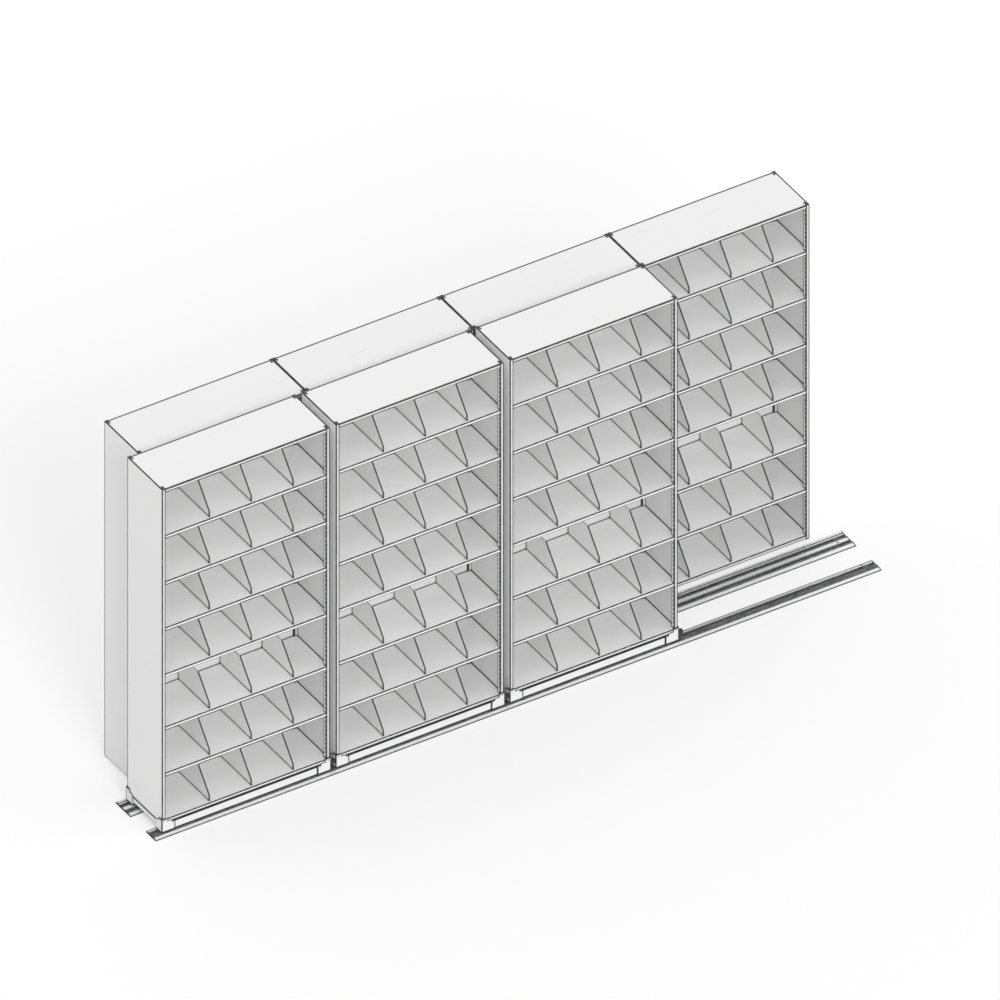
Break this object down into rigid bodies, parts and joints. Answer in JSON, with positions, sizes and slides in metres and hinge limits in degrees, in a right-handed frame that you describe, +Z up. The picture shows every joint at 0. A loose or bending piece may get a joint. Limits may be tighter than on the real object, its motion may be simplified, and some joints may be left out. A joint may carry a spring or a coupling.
{
  "type": "sliding double bookcase",
  "caption": "Double-depth steel file shelving: a fixed rear row of open bays, and a front row of bays on wheeled carriages that slide sideways on floor tracks.",
  "frame": {"origin": "on the floor, at the bottom centre of the whole object's box", "axes": "+X along the rows to the right, +Y from the front row to the rear row, +Z up"},
  "size_m": [3.9624, 0.6922, 1.9864],
  "materials": {
    "white_powder_coat": "satin white powder coat with a very fine orange peel",
    "file_divider": "satin white powder coat",
    "carriage_paint": "satin white powder coat, lightly worn at the edges",
    "track_aluminium": "extruded mill finish with fine lines along its length",
    "zinc_steel": "bright zinc plate",
    "wheel_steel": "turned steel, polished on the rolling face",
    "bumper_rubber": "matt black moulded rubber"
  },
  "bodies": {
    "floor_row": {"rear_unit_1_side_frames": "white_powder_coat", "rear_unit_1_back_panel": "white_powder_coat", "rear_unit_1_shelves": "white_powder_coat", "rear_unit_1_dividers": "file_divider", "rear_unit_2_side_frames": "white_powder_coat", "rear_unit_2_back_panel": "white_powder_coat", "rear_unit_2_shelves": "white_powder_coat", "rear_unit_2_dividers": "file_divider", "rear_unit_3_side_frames": "white_powder_coat", "rear_unit_3_back_panel": "white_powder_coat", "rear_unit_3_shelves": "white_powder_coat", "rear_unit_3_dividers": "file_divider", "rear_unit_4_side_frames": "white_powder_coat", "rear_unit_4_back_panel": "white_powder_coat", "rear_unit_4_shelves": "white_powder_coat", "rear_unit_4_dividers": "file_divider", "rear_row_shelf_clips": "zinc_steel", "rear_track": "track_aluminium", "front_track": "track_aluminium", "track_end_stops": "zinc_steel", "track_spacer_bars": "zinc_steel"},
    "front_unit_1": {"front_unit_1_side_frames": "white_powder_coat", "front_unit_1_back_panel": "white_powder_coat", "front_unit_1_shelves": "white_powder_coat", "front_unit_1_dividers": "file_divider", "front_unit_1_shelf_clips": "zinc_steel", "carriage_1_rails": "carriage_paint", "carriage_1_corner_brackets": "carriage_paint", "carriage_1_axles_and_bolts": "zinc_steel", "carriage_1_bumpers": "bumper_rubber"},
    "front_unit_2": {"front_unit_2_side_frames": "white_powder_coat", "front_unit_2_back_panel": "white_powder_coat", "front_unit_2_shelves": "white_powder_coat", "front_unit_2_dividers": "file_divider", "front_unit_2_shelf_clips": "zinc_steel", "carriage_2_rails": "carriage_paint", "carriage_2_corner_brackets": "carriage_paint", "carriage_2_axles_and_bolts": "zinc_steel", "carriage_2_bumpers": "bumper_rubber"},
    "front_unit_3": {"front_unit_3_side_frames": "white_powder_coat", "front_unit_3_back_panel": "white_powder_coat", "front_unit_3_shelves": "white_powder_coat", "front_unit_3_dividers": "file_divider", "front_unit_3_shelf_clips": "zinc_steel", "carriage_3_rails": "carriage_paint", "carriage_3_corner_brackets": "carriage_paint", "carriage_3_axles_and_bolts": "zinc_steel", "carriage_3_bumpers": "bumper_rubber"},
    "carriage_1_wheel_front_left": {"carriage_1_wheel_front_left": "wheel_steel"},
    "carriage_1_wheel_rear_left": {"carriage_1_wheel_rear_left": "wheel_steel"},
    "carriage_1_wheel_front_right": {"carriage_1_wheel_front_right": "wheel_steel"},
    "carriage_1_wheel_rear_right": {"carriage_1_wheel_rear_right": "wheel_steel"},
    "carriage_2_wheel_front_left": {"carriage_2_wheel_front_left": "wheel_steel"},
    "carriage_2_wheel_rear_left": {"carriage_2_wheel_rear_left": "wheel_steel"},
    "carriage_2_wheel_front_right": {"carriage_2_wheel_front_right": "wheel_steel"},
    "carriage_2_wheel_rear_right": {"carriage_2_wheel_rear_right": "wheel_steel"},
    "carriage_3_wheel_front_left": {"carriage_3_wheel_front_left": "wheel_steel"},
    "carriage_3_wheel_rear_left": {"carriage_3_wheel_rear_left": "wheel_steel"},
    "carriage_3_wheel_front_right": {"carriage_3_wheel_front_right": "wheel_steel"},
    "carriage_3_wheel_rear_right": {"carriage_3_wheel_rear_right": "wheel_steel"}
  },
  "joints": [
    {"name": "front_unit_1_slide", "type": "slide", "parent": "floor_row", "child": "front_unit_1", "axis": [1, 0, 0], "range_m": [0, 1.039]},
    {"name": "front_unit_2_slide", "type": "slide", "parent": "floor_row", "child": "front_unit_2", "axis": [1, 0, 0], "range_m": [0, 1.039]},
    {"name": "front_unit_3_slide", "type": "slide", "parent": "floor_row", "child": "front_unit_3", "axis": [1, 0, 0], "range_m": [0, 1.039]},
    {"name": "carriage_1_wheel_front_left_spin", "type": "hinge", "parent": "front_unit_1", "child": "carriage_1_wheel_front_left", "pos_m": [-1.89425, -0.2889, 0.02675], "axis": [0, 1, 0], "continuous": true},
    {"name": "carriage_1_wheel_rear_left_spin", "type": "hinge", "parent": "front_unit_1", "child": "carriage_1_wheel_rear_left", "pos_m": [-1.89425, -0.0349, 0.02675], "axis": [0, 1, 0], "continuous": true},
    {"name": "carriage_1_wheel_front_right_spin", "type": "hinge", "parent": "front_unit_1", "child": "carriage_1_wheel_front_right", "pos_m": [-1.04355, -0.2889, 0.02675], "axis": [0, 1, 0], "continuous": true},
    {"name": "carriage_1_wheel_rear_right_spin", "type": "hinge", "parent": "front_unit_1", "child": "carriage_1_wheel_rear_right", "pos_m": [-1.04355, -0.0349, 0.02675], "axis": [0, 1, 0], "continuous": true},
    {"name": "carriage_2_wheel_front_left_spin", "type": "hinge", "parent": "front_unit_2", "child": "carriage_2_wheel_front_left", "pos_m": [-0.94485, -0.2889, 0.02675], "axis": [0, 1, 0], "continuous": true},
    {"name": "carriage_2_wheel_rear_left_spin", "type": "hinge", "parent": "front_unit_2", "child": "carriage_2_wheel_rear_left", "pos_m": [-0.94485, -0.0349, 0.02675], "axis": [0, 1, 0], "continuous": true},
    {"name": "carriage_2_wheel_front_right_spin", "type": "hinge", "parent": "front_unit_2", "child": "carriage_2_wheel_front_right", "pos_m": [-0.09415, -0.2889, 0.02675], "axis": [0, 1, 0], "continuous": true},
    {"name": "carriage_2_wheel_rear_right_spin", "type": "hinge", "parent": "front_unit_2", "child": "carriage_2_wheel_rear_right", "pos_m": [-0.09415, -0.0349, 0.02675], "axis": [0, 1, 0], "continuous": true},
    {"name": "carriage_3_wheel_front_left_spin", "type": "hinge", "parent": "front_unit_3", "child": "carriage_3_wheel_front_left", "pos_m": [0.00455, -0.2889, 0.02675], "axis": [0, 1, 0], "continuous": true},
    {"name": "carriage_3_wheel_rear_left_spin", "type": "hinge", "parent": "front_unit_3", "child": "carriage_3_wheel_rear_left", "pos_m": [0.00455, -0.0349, 0.02675], "axis": [0, 1, 0], "continuous": true},
    {"name": "carriage_3_wheel_front_right_spin", "type": "hinge", "parent": "front_unit_3", "child": "carriage_3_wheel_front_right", "pos_m": [0.85525, -0.2889, 0.02675], "axis": [0, 1, 0], "continuous": true},
    {"name": "carriage_3_wheel_rear_right_spin", "type": "hinge", "parent": "front_unit_3", "child": "carriage_3_wheel_rear_right", "pos_m": [0.85525, -0.0349, 0.02675], "axis": [0, 1, 0], "continuous": true}
  ],
  "couplings": [
    {"joint": "front_unit_2_slide", "follows": "front_unit_1_slide", "ratio": 1},
    {"joint": "front_unit_3_slide", "follows": "front_unit_1_slide", "ratio": 1},
    {"joint": "carriage_1_wheel_front_left_spin", "follows": "front_unit_1_slide", "rad_per_m": 43.478},
    {"joint": "carriage_1_wheel_rear_left_spin", "follows": "front_unit_1_slide", "rad_per_m": 43.478},
    {"joint": "carriage_1_wheel_front_right_spin", "follows": "front_unit_1_slide", "rad_per_m": 43.478},
    {"joint": "carriage_1_wheel_rear_right_spin", "follows": "front_unit_1_slide", "rad_per_m": 43.478},
    {"joint": "carriage_2_wheel_front_left_spin", "follows": "front_unit_1_slide", "rad_per_m": 43.478},
    {"joint": "carriage_2_wheel_rear_left_spin", "follows": "front_unit_1_slide", "rad_per_m": 43.478},
    {"joint": "carriage_2_wheel_front_right_spin", "follows": "front_unit_1_slide", "rad_per_m": 43.478},
    {"joint": "carriage_2_wheel_rear_right_spin", "follows": "front_unit_1_slide", "rad_per_m": 43.478},
    {"joint": "carriage_3_wheel_front_left_spin", "follows": "front_unit_1_slide", "rad_per_m": 43.478},
    {"joint": "carriage_3_wheel_rear_left_spin", "follows": "front_unit_1_slide", "rad_per_m": 43.478},
    {"joint": "carriage_3_wheel_front_right_spin", "follows": "front_unit_1_slide", "rad_per_m": 43.478},
    {"joint": "carriage_3_wheel_rear_right_spin", "follows": "front_unit_1_slide", "rad_per_m": 43.478}
  ]
}
